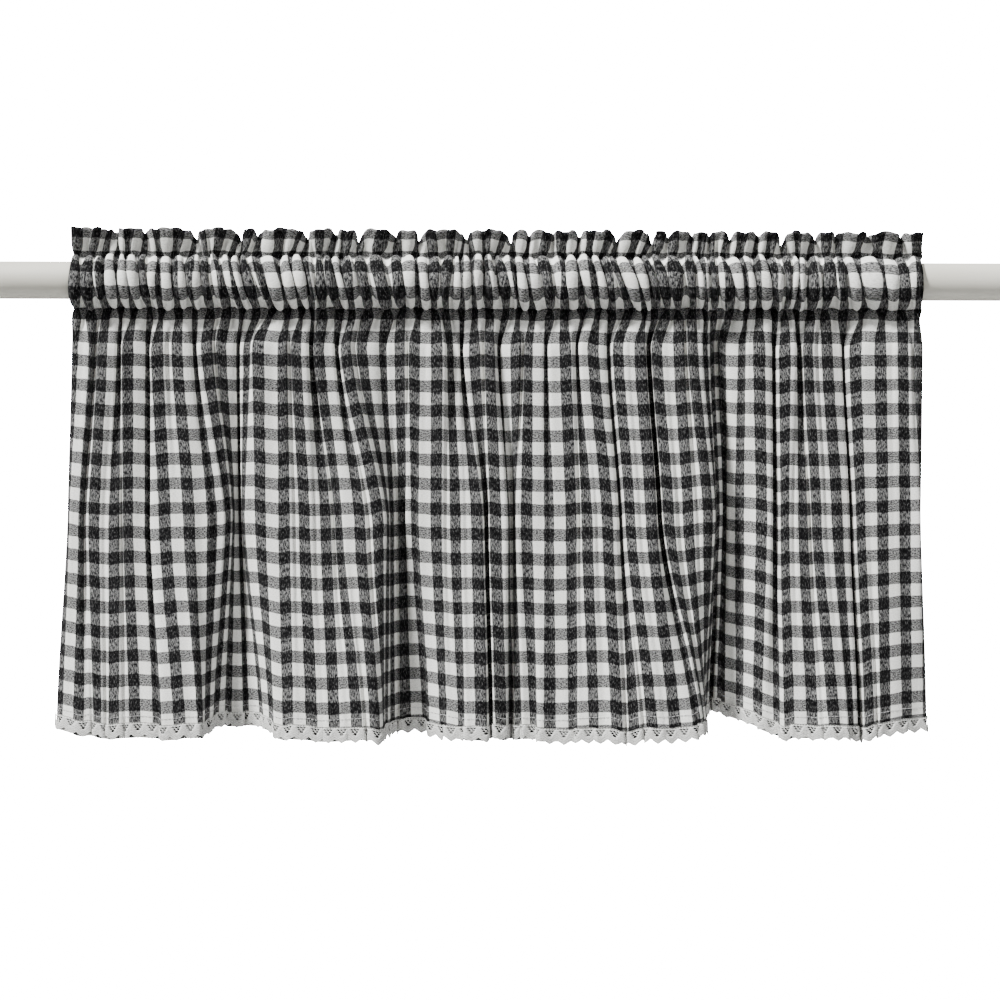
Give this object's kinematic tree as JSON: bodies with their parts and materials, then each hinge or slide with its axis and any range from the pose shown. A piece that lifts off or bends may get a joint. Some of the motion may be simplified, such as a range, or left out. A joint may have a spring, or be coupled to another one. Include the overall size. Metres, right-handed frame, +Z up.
{
  "type": "window valance on a curtain rod",
  "caption": "Gathered checked cloth window valance with a ruffled heading and a lace edged hem, hung on a round rod through its pocket.",
  "frame": {"origin": "middle of the curtain rod's left end face, as seen from the room", "axes": "+X along the rod from its left end to its right end, +Z up, -Y out of the window towards the room that sees the valance's face"},
  "size_m": [0.96, 0.066, 0.4627],
  "materials": {
    "rod": "satin off-white paint",
    "cloth": "matt yarn-dyed black and off-white gingham, slubby plain weave",
    "lace": "matt off-white cotton torchon lace"
  },
  "bodies": {
    "root": {"curtain_rod": "rod", "valance_cloth": "cloth", "lace_edging": "lace"}
  },
  "joints": []
}
